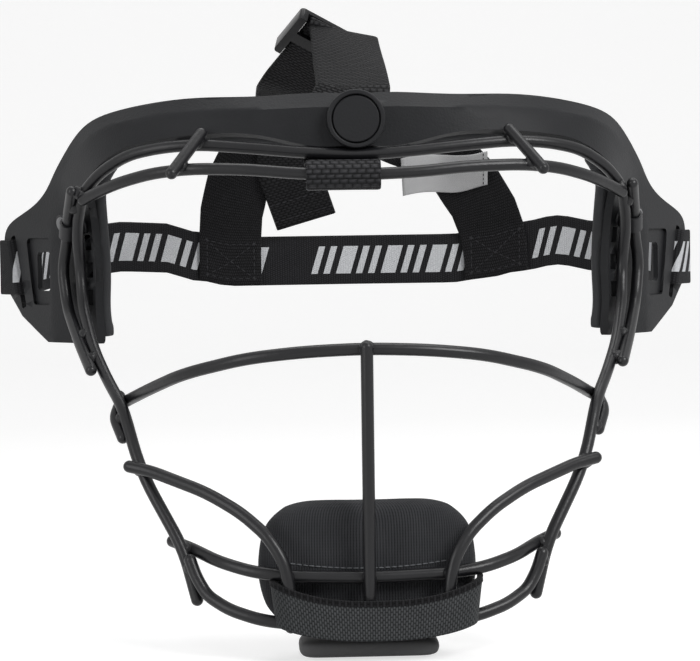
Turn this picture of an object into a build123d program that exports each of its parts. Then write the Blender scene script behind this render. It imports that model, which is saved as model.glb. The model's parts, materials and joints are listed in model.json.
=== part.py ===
from build123d import *
import os
from math import radians, sqrt, tan

# Softball fielder's face guard, in millimetres.
# +Z is up, the face looks along -Y and +X is to the right seen from the front.
# The origin is the middle of the head, level with the strap slots in the wings.

# Driving sizes of the whole guard
temple_half_width = 100.0
brow_reach = 100.0
mouth_drop = 100.0
strap_width_share = 1.195

# Wire cage
wire_radius = 2.0
bend_fill_share = 0.42

# Moulded brow shell
shell_wall = 3.0
temple_pad_bottom = 33.4
badge_ring_radius = 9.75
badge_ring_hole_radius = 8.15
badge_ring_depth = 2.2
badge_disc_gap = 0.3
badge_disc_depth = 1.6
badge_height = 40.2
badge_boss_face = 95.6
badge_boss_root = 91.5
recess_start = 2.0
recess_length = 18.5
recess_height = 24.0
recess_depth = 1.2
recess_slant_share = 0.22
recess_corner_radius = 1.8
slot_window_length = 10.0
slot_window_height = 14.0
recess_middle_drop = 9.5
strap_slot_width = 3.6
strap_slot_height = 27.5
strap_slot_lean = 18.0
comb_window_width = 3.4
comb_window_height = 5.4
comb_window_inset = 3.2
comb_window_pitch = 9.6
comb_window_count = 3
comb_middle_drop = 9.0

# Foam liners
liner_gap = 0.25
temple_pad_thickness = 6.4
forehead_pad_thickness = 8.0
pad_crown_share = 0.78
pad_rounding_share = 0.16
forehead_reach_share = 0.72

# Webbing and elastic
webbing_thickness = 1.6
webbing_width = 25.0
elastic_thickness = 1.6
elastic_width = 20.0
cloth_gap = 0.3
sleeve_half_height = 5.1
sleeve_half_depth = 4.1
sleeve_slack = 0.8
sleeve_length = 24.5
crown_offset = 5.0
crown_steps = 140

# Crown slider, a ladder of two end bars over the webbing and one bar under it
slider_length = 20.0
slider_side_bar = 3.0
slider_end_bar = 4.2
slider_middle_bar = 4.4
slider_bar_thickness = 1.6
slider_setback = 1.6
slider_slack = 1.0

# Rear elastic strap
strap_straight_start = 8.0
strap_straight_end = 35.0
strap_back = 95.0
strap_half_width = temple_half_width * strap_width_share
strap_top = 2.0
strap_lean_share = 0.42
riser_steps = 3
tail_end = 38.0
loop_wall = 1.1
loop_slack = 1.5
loop_front_gap = 0.9

# Care tag
tag_width = 34.0
tag_height = 15.0
tag_thickness = 0.8
tag_tilt = 4.0
tag_place_share = (0.426, 0.262)

# Chin pad, its base and the band that ties it to the wires
chin_pad_half_width = 36.0
chin_pad_top = 81.5
chin_pad_bottom = 126.4
chin_pad_thickness = 16.0
chin_pad_bend_radius = 150.0
chin_pad_corner_radius = 18.0
chin_pad_edge_radius = 5.0
chin_base_half_width = 23.0
chin_base_height = 6.2
chin_base_front = 139.0
chin_base_back = 117.0
chin_base_corner_radius = 4.0
band_wall = 1.5
band_top = 113.0
band_bottom = 126.1
band_half_width = 33.5
band_back = 134.6
band_corner_radius = 6.0

# Clips that hold the outer wires to the shell, each with one rivet
clip_wall = 0.7
clip_gap = 0.2
clip_seat_gap = 0.4
clip_width = 6.4
clip_inner_length = 4.2
clip_outer_length = 13.4
rivet_offset = 9.4
rivet_head_radius = 2.7
rivet_head_height = 1.4
rivet_shank_radius = 1.5
rivet_clearance = 0.05

# Places on the cage: sideways, forwards and up, as shares of the driving sizes
frame_half_shares = [
    (0.000, 0.950, 0.282), (0.180, 0.948, 0.294), (0.360, 0.930, 0.312), (0.520, 0.902, 0.326),
    (0.650, 0.862, 0.320), (0.770, 0.798, 0.298), (0.868, 0.722, 0.240), (0.932, 0.655, 0.170),
    (0.960, 0.560, 0.050), (0.954, 0.485, -0.100), (0.944, 0.540, -0.225), (0.900, 0.700, -0.360),
    (0.845, 0.840, -0.460), (0.790, 0.970, -0.540), (0.728, 1.100, -0.745), (0.590, 1.200, -0.990),
    (0.548, 1.230, -1.150),
]
lower_brow_half_shares = [
    (0.000, 1.080, 0.214), (0.190, 1.076, 0.220), (0.370, 1.045, 0.238), (0.550, 1.000, 0.243),
    (0.680, 0.932, 0.232), (0.790, 0.842, 0.206), (0.870, 0.750, 0.178), (0.926, 0.687, 0.152),
]
stub_shares = [(0.515, 0.912, 0.362), (0.612, 1.038, 0.228)]
outer_wire_shares = [
    (0.965, 0.672, 0.180), (0.988, 0.560, 0.095), (1.000, 0.482, 0.010), (1.020, 0.440, -0.090),
    (1.002, 0.480, -0.225), (0.950, 0.660, -0.340), (0.903, 0.812, -0.425),
]
arch_half_shares = [
    (0.000, 1.435, -0.340), (0.200, 1.425, -0.348), (0.380, 1.378, -0.368), (0.580, 1.235, -0.420),
    (0.700, 1.055, -0.480), (0.770, 0.912, -0.520), (0.804, 0.902, -0.538), (0.818, 0.945, -0.578),
    (0.789, 1.008, -0.640),
]
centre_bar_shares = [(0.000, 1.472, -0.335), (0.000, 1.430, -1.230)]
cheek_wire_shares = [
    (0.764, 1.114, -0.726), (0.690, 1.154, -0.740), (0.510, 1.278, -0.800), (0.400, 1.350, -0.860),
    (0.320, 1.398, -0.928), (0.273, 1.420, -1.000), (0.254, 1.426, -1.080), (0.250, 1.420, -1.215),
]
mouth_half_shares = [
    (0.000, 1.406, -1.065), (0.256, 1.391, -1.058), (0.370, 1.362, -1.045), (0.475, 1.295, -1.020),
    (0.565, 1.174, -0.990), (0.628, 1.105, -0.974),
]
chin_half_shares = [
    (0.000, 1.396, -1.225), (0.150, 1.392, -1.220), (0.340, 1.370, -1.200), (0.445, 1.325, -1.170),
    (0.515, 1.275, -1.130), (0.548, 1.254, -1.075), (0.568, 1.241, -1.020),
]

# Stations of the shell from the middle of the brow to the foot of the wing.
# Each has the inner edge, the ridge and the outer edge.
shell_half_shares = [
    ((0.000, 0.940, 0.315), (0.000, 0.935, 0.440), (0.000, 0.885, 0.490)),
    ((0.250, 0.928, 0.338), (0.250, 0.920, 0.441), (0.250, 0.868, 0.490)),
    ((0.510, 0.884, 0.362), (0.510, 0.862, 0.438), (0.510, 0.812, 0.488)),
    ((0.660, 0.832, 0.350), (0.680, 0.785, 0.428), (0.690, 0.725, 0.476)),
    ((0.760, 0.772, 0.330), (0.820, 0.680, 0.408), (0.840, 0.608, 0.450)),
    ((0.850, 0.698, 0.285), (0.925, 0.545, 0.362), (0.945, 0.482, 0.400)),
    ((0.898, 0.655, 0.238), (0.990, 0.448, 0.286), (1.012, 0.395, 0.318)),
    ((0.918, 0.608, 0.178), (1.026, 0.385, 0.214), (1.066, 0.312, 0.230)),
    ((0.915, 0.562, 0.115), (1.045, 0.352, 0.140), (1.165, 0.165, 0.126)),
    ((0.908, 0.535, 0.040), (1.060, 0.340, 0.060), (1.258, 0.022, 0.055)),
    ((0.900, 0.525, -0.060), (1.065, 0.337, -0.050), (1.260, 0.020, -0.050)),
    ((0.900, 0.525, -0.160), (1.065, 0.337, -0.160), (1.260, 0.020, -0.160)),
    ((0.900, 0.525, -0.260), (1.065, 0.337, -0.260), (1.260, 0.020, -0.260)),
    ((0.900, 0.525, -0.348), (1.065, 0.337, -0.348), (1.260, 0.020, -0.348)),
]
# The space under the wing's slanted lower edge: along the wing as a share of its length, and up
wing_corner_shares = [
    (1.150, -0.100), (0.975, -0.165), (0.665, -0.258), (0.050, -0.358), (0.050, -0.450),
    (1.150, -0.450),
]
wing_tip_share = (1.260, 0.020, 0.0)
wing_root_share = (0.900, 0.525, 0.0)
brow_station_count = 4
clip_station = 9
temple_first_station = 5
temple_last_station = 14
middle_station = len(shell_half_shares) - 1

# Webbing over the crown: sideways, forwards and up
crown_path_shares = [
    (-0.050, 1.038, 0.247), (-0.050, 0.915, 0.250), (-0.050, 0.884, 0.315),
    (-0.050, 0.872, 0.412), (0.000, 0.810, 0.508), (-0.015, 0.370, 0.745),
    (-0.205, 0.090, 0.540), (-0.205, -0.400, 0.540), (-0.205, -0.657, 0.530),
    (-0.200, -0.763, 0.280), (-0.130, -0.858, 0.080),
]
crown_bend_shares = [0.030, 0.030, 0.100, 0.060, 0.025, 0.120, 0.500, 0.060, 0.200]
crown_ridge = 5
crown_pad_corner = 3
# How much its right edge drops: place along the webbing, drop as a share of its width
crown_tilt_shares = [(0.00, 0.0), (0.18, 0.0), (0.345, 0.25), (0.52, 0.25), (0.66, 0.0), (1.00, 0.0)]

# Elastic straps from the rear strap up to the webbing: sideways, up and the lean of their width
left_v_shares = [
    (-0.440, -0.175, 0.0), (-0.441, -0.080, 0.0), (-0.440, 0.010, -1.0), (-0.433, 0.110, -6.0),
    (-0.405, 0.230, -20.0), (-0.345, 0.355, -45.0), (-0.235, 0.440, -72.0), (-0.100, 0.465, -90.0),
]
right_v_shares = [
    (0.640, -0.175, 0.0), (0.637, -0.080, 0.0), (0.624, 0.010, 3.0), (0.588, 0.110, 9.0),
    (0.512, 0.240, 24.0), (0.380, 0.370, 48.0), (0.200, 0.446, 73.0), (0.050, 0.464, 84.0),
    (-0.098, 0.465, 90.0),
]


def place(shares):
    """A point of the guard from its sideways, forward and upward shares."""
    sideways, forwards, up = shares
    return Vector(sideways * temple_half_width, -forwards * brow_reach, up * mouth_drop)


def mirrored(points):
    """The whole symmetric run of points, from the left end to the right end."""
    left = [Vector(-point.X, point.Y, point.Z) for point in reversed(points[1:])]
    return left + points


def bend_radii(points):
    """Bends that are nearly as large as the straight runs beside them allow."""
    radii = []
    for before, corner, after in zip(points, points[1:], points[2:]):
        run_in = corner - before
        run_out = after - corner
        shorter = min(run_in.length, run_out.length)
        half_turn = radians(run_in.get_angle(run_out)) / 2
        radii.append(bend_fill_share * shorter / tan(half_turn))
    return radii


def bent_wire(points, radius=wire_radius):
    """A round wire with domed ends through the corners of its bends."""
    if len(points) > 2:
        path = FilletPolyline(*points, radius=bend_radii(points))
    else:
        path = Polyline(*points)
    start = Plane(origin=path @ 0, z_dir=path % 0)
    wire = sweep(start * Circle(radius), path=path)
    for end in (points[0], points[-1]):
        wire += Pos(end.X, end.Y, end.Z) * Sphere(radius)
    return wire


def write(shape, node):
    """One file for each piece, named after it."""
    export_step(shape, f"parts/{node}.step")


def write_pair(shape, name):
    """The right-hand piece and its mirror image on the left."""
    write(shape, f"right_{name}")
    write(mirror(shape, about=Plane.YZ), f"left_{name}")


# Shell stations

def shell_stations():
    """Inner edge, ridge, outer edge and inward direction at each station of the right half."""
    corners = [[place(share) for share in station] for station in shell_half_shares]
    stations = []
    for index, (inner, ridge, outer) in enumerate(corners):
        before = corners[max(index - 1, 0)][1]
        after = corners[min(index + 1, middle_station)][1]
        along = after - before
        if index == 0:
            along = Vector(1, 0, 0)
        if index == middle_station:
            along = Vector(0, 0, -1)
        inward = -along.cross(outer - inner).normalized()
        stations.append((inner, ridge, outer, inward))
    return stations


def flipped(point):
    return Vector(-point.X, point.Y, point.Z)


def both_sides(sections):
    """Sections of the right half and, before them, their mirror images."""
    left = [[flipped(point) for point in section] for section in reversed(sections[1:])]
    return left + sections


def skinned(sections, ruled=False):
    """A solid through closed sections, smooth or with straight runs between them."""
    wires = [Wire.make_polygon(section, close=True) for section in sections]
    return Solid.make_loft(wires, ruled)


def shell_section(station, wall):
    inner, ridge, outer, inward = station
    return [inner, ridge, outer, outer + inward * wall, ridge + inward * wall, inner + inward * wall]


def liner_section(station, thickness, reach_share):
    """A foam liner's section: flat on the shell, crowned and rounded towards the head."""
    inner, ridge, outer, inward = station
    start = inner + inward * (shell_wall + liner_gap)
    run = (ridge - inner) * reach_share
    depth = inward * thickness
    return [
        start,
        start + run,
        start + run + depth * pad_crown_share,
        start + run * (1 - pad_rounding_share) + depth,
        start + run * pad_rounding_share + depth,
        start + depth * pad_crown_share,
    ]


stations = shell_stations()
ridge_low = stations[-3][1]
wing_ridge = Vector(ridge_low.X, ridge_low.Y, 0)
wing_tip = place(wing_tip_share)
wing_root = place(wing_root_share)
wing_along = (wing_tip - wing_ridge).normalized()
wing_out = wing_along.cross(Vector(0, 0, 1))
wing_plane = Plane(origin=wing_ridge, x_dir=wing_along, z_dir=wing_out)
cheek_along = (wing_ridge - wing_root).normalized()
cheek_out = cheek_along.cross(Vector(0, 0, 1))
cheek_plane = Plane(origin=wing_root, x_dir=cheek_along, z_dir=cheek_out)
wing_length = (wing_tip - wing_ridge).length
cut_depth = shell_wall * 3
slot_top = strap_top + cloth_gap * 7
slot_middle = slot_top - strap_slot_height / 2
slot_place = wing_length - elastic_width / 2
slot_lean_run = strap_slot_height * tan(radians(strap_slot_lean)) / 2


# Wire cage

def make_cage():
    frame = bent_wire(mirrored([place(share) for share in frame_half_shares]))
    write(frame, "frame_wire")
    lower_brow = bent_wire(mirrored([place(share) for share in lower_brow_half_shares]))
    write(lower_brow, "lower_brow_wire")
    write(bent_wire(mirrored([place(share) for share in arch_half_shares])), "nose_arch_wire")
    write(bent_wire(mirrored([place(share) for share in mouth_half_shares])), "mouth_wire")
    write(bent_wire(mirrored([place(share) for share in chin_half_shares])), "chin_wire")
    write(bent_wire([place(share) for share in centre_bar_shares]), "centre_bar")
    write_pair(bent_wire([place(share) for share in stub_shares]), "brow_stub")
    write_pair(bent_wire([place(share) for share in outer_wire_shares]), "outer_wire")
    write_pair(bent_wire([place(share) for share in cheek_wire_shares]), "cheek_wire")


# Clips and rivets

def clip_seat():
    """The seat on the shell beside the outer wire, with the wire's middle and direction there."""
    high = place(outer_wire_shares[1])
    low = place(outer_wire_shares[2])
    middle = (high + low) / 2
    inner, ridge = stations[clip_station][:2]
    above = stations[clip_station - 1][0]
    along = (ridge - inner).normalized()
    out = along.cross(above - inner).normalized()
    rise = (middle - inner).dot(out)
    plane = Plane(origin=middle - out * (rise - clip_seat_gap), x_dir=along, z_dir=out)
    return plane, middle, high - low


def rivet_hole():
    plane, middle, run = clip_seat()
    hole = Cylinder(rivet_shank_radius + rivet_clearance, cut_depth * 2)
    return plane * Pos(rivet_offset, 0, 0) * hole


def make_clips():
    plane, middle, run = clip_seat()
    rise = (middle - plane.origin).length
    base_length = clip_inner_length + clip_outer_length
    base_middle = (clip_outer_length - clip_inner_length) / 2
    base_plan = Pos(base_middle, 0) * RectangleRounded(base_length, clip_width, clip_width / 2 - clip_gap)
    eye_radius = wire_radius + clip_gap + clip_wall
    web = extrude(Rectangle(wire_radius * 2, clip_width), rise)
    clip = plane * (extrude(base_plan, clip_wall) + web)
    wire_line = Plane(origin=middle, z_dir=run)
    clip += wire_line * extrude(Circle(eye_radius), clip_width / 2, both=True)
    clip -= wire_line * extrude(Circle(wire_radius + clip_gap), cut_depth * 2, both=True)
    clip -= rivet_hole()
    write_pair(clip, "wire_clip")

    head = extrude(Circle(rivet_head_radius), rivet_head_height)
    head = fillet(head.edges().group_by(Axis.Z)[-1], rivet_head_height * pad_crown_share)
    shank = Cylinder(
        rivet_shank_radius,
        clip_wall + clip_seat_gap + shell_wall,
        align=(Align.CENTER, Align.CENTER, Align.MAX),
    )
    rivet = plane * Pos(rivet_offset, 0, clip_wall) * (head + shank)
    write_pair(rivet, "clip_rivet")


# Brow shell with its wings

def wing_corner():
    """The space under the slanted lower edge of the wing."""
    points = [(along * wing_length, up * mouth_drop) for along, up in wing_corner_shares]
    return wing_plane * extrude(make_face(Polyline(*points, close=True)), cut_depth, both=True)


def wing_recess():
    """A shallow tapered recess with a through window in its inner part."""
    half = recess_height / 2
    slant = recess_height * recess_slant_share
    outline = Polyline(
        (recess_start, -half),
        (recess_start + recess_length - slant, -half),
        (recess_start + recess_length, half),
        (recess_start, half),
        close=True,
    )
    face = fillet(make_face(outline).vertices(), recess_corner_radius)
    pocket = extrude(face, -recess_depth) + extrude(face, shell_wall)
    window_place = Pos(recess_start * 2 + slot_window_length / 2, 0, 0)
    window = window_place * RectangleRounded(slot_window_length, slot_window_height, recess_corner_radius)
    cut = pocket + extrude(window, cut_depth, both=True)
    return wing_plane * Pos(0, -recess_middle_drop, 0) * cut


def strap_slot():
    """The leaning slot that the elastic loops through."""
    slot = Rot(0, 0, -strap_slot_lean) * RectangleRounded(
        strap_slot_width, strap_slot_height, strap_slot_width / 2 * (1 - bend_fill_share)
    )
    return wing_plane * Pos(slot_place, slot_middle, 0) * extrude(slot, cut_depth, both=True)


def comb_windows():
    """The row of small windows beside the inner edge."""
    windows = []
    first = -comb_middle_drop - comb_window_pitch * (comb_window_count - 1) / 2
    for index in range(comb_window_count):
        middle = first + comb_window_pitch * index
        window = Pos(comb_window_inset, middle, 0) * Rectangle(comb_window_width, comb_window_height)
        windows.append(cheek_plane * extrude(window, cut_depth, both=True))
    return windows


def make_shell():
    shell = skinned(both_sides([shell_section(station, shell_wall) for station in stations]))
    boss_plane = Plane(origin=(0, -badge_boss_root, badge_height), z_dir=(0, -1, 0))
    shell += boss_plane * extrude(Circle(badge_ring_radius), badge_boss_face - badge_boss_root)
    cuts = [wing_corner(), wing_recess(), strap_slot(), rivet_hole()] + comb_windows()
    for cut in cuts:
        shell -= cut
        shell -= mirror(cut, about=Plane.YZ)
    write(shell, "brow_shell")
    return shell


def make_badge():
    """A ring and a plain raised disc on the boss in the middle of the brow."""
    face = Plane(origin=(0, -badge_boss_face, badge_height), z_dir=(0, -1, 0))
    ring_face = Circle(badge_ring_radius) - Circle(badge_ring_hole_radius)
    ring = extrude(ring_face, badge_ring_depth)
    rim = ring.edges().group_by(Axis.Z)[-1]
    write(face * fillet(rim, (badge_ring_radius - badge_ring_hole_radius) / 3), "badge_ring")
    disc = extrude(Circle(badge_ring_hole_radius - badge_disc_gap), badge_disc_depth)
    rim = disc.edges().group_by(Axis.Z)[-1]
    write(face * fillet(rim, badge_disc_depth / 3), "badge_disc")


# Foam liners

def make_liners():
    temple = [
        liner_section(station, temple_pad_thickness, 1)
        for station in stations[temple_first_station:temple_last_station]
    ]
    corner_align = (Align.CENTER, Align.CENTER, Align.MAX)
    space_below = Box(mouth_drop * 4, mouth_drop * 4, mouth_drop, align=corner_align)
    temple_pad = skinned(temple) - shell_keepout() - Pos(0, 0, -temple_pad_bottom) * space_below
    write_pair(temple_pad, "temple_pad")
    brow = [
        liner_section(station, forehead_pad_thickness, forehead_reach_share)
        for station in stations[:brow_station_count]
    ]
    forehead = skinned(both_sides(brow)) - shell_keepout()
    channel_front = brow_reach
    channel_back = crown_pad_front()
    channel = Box(
        webbing_width + slider_slack * 4,
        channel_front - channel_back,
        mouth_drop,
        align=(Align.CENTER, Align.MIN, Align.CENTER),
    )
    forehead -= Pos(-crown_offset, -channel_front, 0) * channel
    write(forehead, "forehead_pad")


def shell_keepout():
    """The space of the shell and the glue line behind it."""
    sections = [shell_section(station, shell_wall + liner_gap / 2) for station in stations]
    return skinned(both_sides(sections))


def crown_pad_front():
    """How far forward the forehead pad may reach behind the crown webbing."""
    return -place(crown_path_shares[crown_pad_corner]).Y - webbing_thickness / 2 - cloth_gap


# Crown webbing and its slider

def tilt_at(share):
    """The drop of the webbing's right edge at a share of its length."""
    for (low, from_drop), (high, to_drop) in zip(crown_tilt_shares, crown_tilt_shares[1:]):
        if share <= high:
            part = (share - low) / (high - low)
            eased = part * part * (3 - 2 * part)
            return from_drop + (to_drop - from_drop) * eased
    return to_drop


def crown_sections(path):
    """Flat sections of the webbing in even steps along its path."""
    sections = []
    for step in range(crown_steps + 1):
        share = step / crown_steps
        middle = path @ share
        run = path % share
        out = Vector(1, 0, -tilt_at(share)).cross(run)
        half_width = run.cross(out).normalized() * (webbing_width / 2)
        half_depth = out.normalized() * (webbing_thickness / 2)
        sections.append([
            middle - half_width - half_depth, middle + half_width - half_depth,
            middle + half_width + half_depth, middle - half_width + half_depth,
        ])
    return sections


def make_crown():
    points = [place(share) for share in crown_path_shares]
    path = FilletPolyline(*points, radius=[share * brow_reach for share in crown_bend_shares])
    write(skinned(crown_sections(path), ruled=True), "crown_webbing")

    sleeve_middle = place(lower_brow_half_shares[0])
    plane = Plane(
        origin=(-crown_offset, sleeve_middle.Y, sleeve_middle.Z), x_dir=(0, 1, 0), z_dir=(1, 0, 0)
    )
    outline = Ellipse(sleeve_half_depth, sleeve_half_height)
    hole = Circle(wire_radius + sleeve_slack)
    write(plane * extrude(outline - hole, sleeve_length / 2, both=True), "brow_sleeve")

    ridge, foot = points[crown_ridge:crown_ridge + 2]
    run = (foot - ridge).normalized()
    out = Vector(1, 0, -crown_tilt_shares[2][1]).cross(run)
    middle = ridge + run * (slider_length / 2 + slider_setback)
    slider_plane = Plane(origin=middle, x_dir=run.cross(out), z_dir=out)
    write(slider_plane * slider_body(), "crown_slider")


def slider_body():
    """Two side rails with bars above and below the webbing that runs between them."""
    opening = webbing_width / 2 + slider_slack
    height = webbing_thickness / 2 + cloth_gap + slider_bar_thickness
    rail = Box(slider_side_bar, slider_length, height * 2)
    body = Pos(opening + slider_side_bar / 2, 0, 0) * rail
    body += Pos(-opening - slider_side_bar / 2, 0, 0) * rail
    bar_level = height - slider_bar_thickness / 2
    end_bar = Box(opening * 2, slider_end_bar, slider_bar_thickness)
    end_place = (slider_length - slider_end_bar) / 2
    body += Pos(0, end_place, bar_level) * end_bar
    body += Pos(0, -end_place, bar_level) * end_bar
    body += Pos(0, 0, -bar_level) * Box(opening * 2, slider_middle_bar, slider_bar_thickness)
    upright = body.edges().filter_by(Axis.Z).group_by(SortBy.DISTANCE)[-1]
    return fillet(upright, slider_side_bar / 2)


# Rear elastic and the straps that rise from it

def strap_depth(sideways, inset):
    """How far back the rear strap's curve lies at a place across the head, inset inwards."""
    half_width = strap_half_width - inset
    depth = strap_back - strap_straight_end - inset
    return strap_straight_end + depth * sqrt(1 - (sideways / half_width) ** 2)


def make_rear_strap():
    outer = Ellipse(strap_half_width, strap_back - strap_straight_end)
    inner = Ellipse(
        strap_half_width - elastic_thickness, strap_back - strap_straight_end - elastic_thickness
    )
    front_half = Pos(0, -strap_back / 2) * Rectangle(strap_half_width * 4, strap_back)
    curve = Pos(0, strap_straight_end) * (outer - inner - front_half)
    side = Rectangle(
        elastic_thickness, strap_straight_end - strap_straight_start, align=(Align.MAX, Align.MIN)
    )
    sides = Pos(strap_half_width, strap_straight_start) * side
    profile = curve + sides + mirror(sides, about=Plane.YZ)
    strap = extrude(profile, elastic_width)
    write(Pos(0, 0, strap_top - elastic_width) * strap, "rear_strap")


def v_section(share):
    """A strap's section, flat on the inside of the back of the head's curve."""
    sideways, up, turn = share
    half = webbing_width / 2
    width_dir = Vector(1, 0, 0).rotate(Axis.Y, -turn)
    ends = []
    for side in (-1, 1):
        x = sideways * temple_half_width + width_dir.X * half * side
        z = up * mouth_drop + width_dir.Z * half * side
        lean = max(z - strap_top, 0) * strap_lean_share
        outer = strap_depth(x, elastic_thickness) - lean - cloth_gap * 3 / 2
        ends.append((x, outer, z))
    (x_one, y_one, z_one), (x_two, y_two, z_two) = ends
    return [
        Vector(x_one, y_one, z_one),
        Vector(x_two, y_two, z_two),
        Vector(x_two, y_two - elastic_thickness, z_two),
        Vector(x_one, y_one - elastic_thickness, z_one),
    ]


def riser(shares):
    """A riser through its stations, with even steps between each two of them."""
    steps = [shares[0]]
    for low, high in zip(shares, shares[1:]):
        for step in range(1, riser_steps + 1):
            part = step / riser_steps
            steps.append(tuple(a + (b - a) * part for a, b in zip(low, high)))
    return skinned([v_section(share) for share in steps], ruled=True)


def make_v_straps():
    write(riser(left_v_shares), "left_v_strap")
    write(riser(right_v_shares), "right_v_strap")


def strap_loop_sections(level):
    """Outer and inner outline of the elastic's loop round the wing's outer bar at one level."""
    slot = slot_place + (level - slot_middle) * tan(radians(strap_slot_lean))

    def at(along, out):
        point = wing_ridge + wing_along * along + wing_out * out
        return Vector(point.X, point.Y, level)

    edge = wing_length + loop_slack
    near = slot + cloth_gap
    hole = [
        at(near, loop_front_gap), at(edge, loop_front_gap),
        at(edge, -shell_wall - cloth_gap * 2), at(near, -shell_wall - cloth_gap * 2),
    ]
    far = edge + loop_wall
    back = -shell_wall - cloth_gap * 2 - loop_wall
    tail_outer = strap_half_width + cloth_gap + elastic_thickness * 2
    tail_inner = strap_half_width + cloth_gap
    outline = [
        at(near - loop_wall, loop_front_gap + loop_wall), at(far, loop_front_gap + loop_wall),
        at(far, back),
        Vector(tail_outer, strap_straight_start, level), Vector(tail_outer, tail_end, level),
        Vector(tail_inner, tail_end, level), Vector(tail_inner, strap_straight_start, level),
        at(near - loop_wall, back),
    ]
    return outline, hole


def make_strap_loops():
    low_outline, low_hole = strap_loop_sections(strap_top - elastic_width)
    high_outline, high_hole = strap_loop_sections(strap_top)
    body = Solid.make_loft(
        [Wire.make_polygon(low_outline, close=True), Wire.make_polygon(high_outline, close=True)],
        ruled=True,
    )
    hole = Solid.make_loft(
        [Wire.make_polygon(low_hole, close=True), Wire.make_polygon(high_hole, close=True)],
        ruled=True,
    )
    write_pair(body - hole, "strap_loop")


def make_care_tag():
    """A small blank tag on the inner face of the right riser."""
    x = tag_place_share[0] * temple_half_width
    z = tag_place_share[1] * mouth_drop
    near = strap_depth(x - tag_width / 2, elastic_thickness)
    far = strap_depth(x + tag_width / 2, elastic_thickness)
    lean = (z - strap_top) * strap_lean_share
    across = Vector(tag_width, far - near, 0)
    out = across.cross(Vector(0, -strap_lean_share, 1)).normalized()
    seat = Vector(x, (near + far) / 2 - lean - elastic_thickness, z)
    plane = Plane(
        origin=seat + out * (cloth_gap * 4 + tag_thickness / 2), x_dir=across, z_dir=out
    )
    write(plane * Rot(0, 0, tag_tilt) * Box(tag_width, tag_height, tag_thickness), "care_tag")


# Chin pad, base and band

def make_chin():
    height = chin_pad_bottom - chin_pad_top
    face = Plane(origin=(0, 0, -(chin_pad_top + chin_pad_bottom) / 2), x_dir=(1, 0, 0), z_dir=(0, -1, 0))
    outline = RectangleRounded(chin_pad_half_width * 2, height, chin_pad_corner_radius)
    block = extrude(face * outline, mouth_drop * 2)
    nearest = max(place(mouth_half_shares[0]).Y, place(chin_half_shares[0]).Y)
    front = nearest + wire_radius + cloth_gap
    ring_middle = front + chin_pad_bend_radius
    ring = Circle(chin_pad_bend_radius) - Circle(chin_pad_bend_radius - chin_pad_thickness)
    tube = Pos(0, ring_middle, -chin_pad_bottom * 2) * extrude(ring, chin_pad_bottom * 4)
    front_half = Pos(0, front + chin_pad_thickness, 0) * Box(
        chin_pad_half_width * 4, chin_pad_half_width * 2, chin_pad_bottom * 4
    )
    pad = (block & tube & front_half)
    write(fillet(pad.edges(), chin_pad_edge_radius), "chin_pad")

    base_middle = -(chin_base_front + chin_base_back) / 2
    base_plan = RectangleRounded(
        chin_base_half_width * 2, chin_base_front - chin_base_back, chin_base_corner_radius
    )
    base = extrude(base_plan, chin_base_height)
    base = fillet(base.edges().group_by(Axis.Z)[0], chin_base_corner_radius / 2)
    base_level = -chin_pad_bottom - cloth_gap - chin_base_height
    write(Pos(0, base_middle, base_level) * base, "chin_pad_base")

    bar_top, bar_foot = [place(share) for share in centre_bar_shares]
    down = (-band_top - bar_top.Z) / (bar_foot.Z - bar_top.Z)
    bar_middle = bar_top + (bar_foot - bar_top) * down
    front_inside = -bar_middle.Y + wire_radius + cloth_gap
    depth = front_inside - band_back + band_wall
    middle = -(front_inside + band_wall + band_back) / 2
    outside = RectangleRounded(
        (band_half_width + band_wall) * 2, depth, band_corner_radius
    )
    inside = Pos(0, band_wall) * RectangleRounded(
        band_half_width * 2, depth, band_corner_radius - band_wall
    )
    band = extrude(outside - inside, band_bottom - band_top)
    band = Pos(0, middle, -band_bottom) * band
    chin_run = mirrored([place(share) for share in chin_half_shares])
    write(band - bent_wire(chin_run, wire_radius + cloth_gap), "chin_band")


os.makedirs("parts", exist_ok=True)
make_cage()
make_clips()
make_shell()
make_badge()
make_liners()
make_crown()
make_rear_strap()
make_v_straps()
make_strap_loops()
make_care_tag()
make_chin()
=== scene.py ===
# %% [markdown]
# # Dressing a softball face guard
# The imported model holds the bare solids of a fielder's face guard: bent steel wires, a moulded
# brow shell, foam liners, straps and a chin pad. This lesson gives each piece the finish and the
# soft shape of the real thing. Everything is in metres, +Z is up and the face looks along -Y.

# %% Load the frame
import json
from math import cos, pi, radians, sin, sqrt

import bmesh
import bpy
from mathutils import Matrix, Vector
from mathutils.bvhtree import BVHTree


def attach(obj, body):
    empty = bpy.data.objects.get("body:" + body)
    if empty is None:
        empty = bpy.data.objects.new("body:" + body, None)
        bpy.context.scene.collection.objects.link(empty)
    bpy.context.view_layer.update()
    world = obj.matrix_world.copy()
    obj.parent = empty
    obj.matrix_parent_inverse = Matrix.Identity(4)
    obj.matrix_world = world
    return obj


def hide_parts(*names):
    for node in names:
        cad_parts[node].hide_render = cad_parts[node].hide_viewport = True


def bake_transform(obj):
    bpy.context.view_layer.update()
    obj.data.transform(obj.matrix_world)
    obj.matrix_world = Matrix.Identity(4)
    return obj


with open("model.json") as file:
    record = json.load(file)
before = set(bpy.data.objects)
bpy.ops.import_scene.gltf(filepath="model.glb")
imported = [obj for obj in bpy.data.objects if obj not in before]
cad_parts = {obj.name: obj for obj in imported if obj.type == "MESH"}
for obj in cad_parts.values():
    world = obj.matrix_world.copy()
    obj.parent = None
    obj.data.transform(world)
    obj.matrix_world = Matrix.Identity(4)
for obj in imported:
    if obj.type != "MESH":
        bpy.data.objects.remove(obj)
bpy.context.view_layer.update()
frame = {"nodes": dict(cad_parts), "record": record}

mm = 0.001
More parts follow.
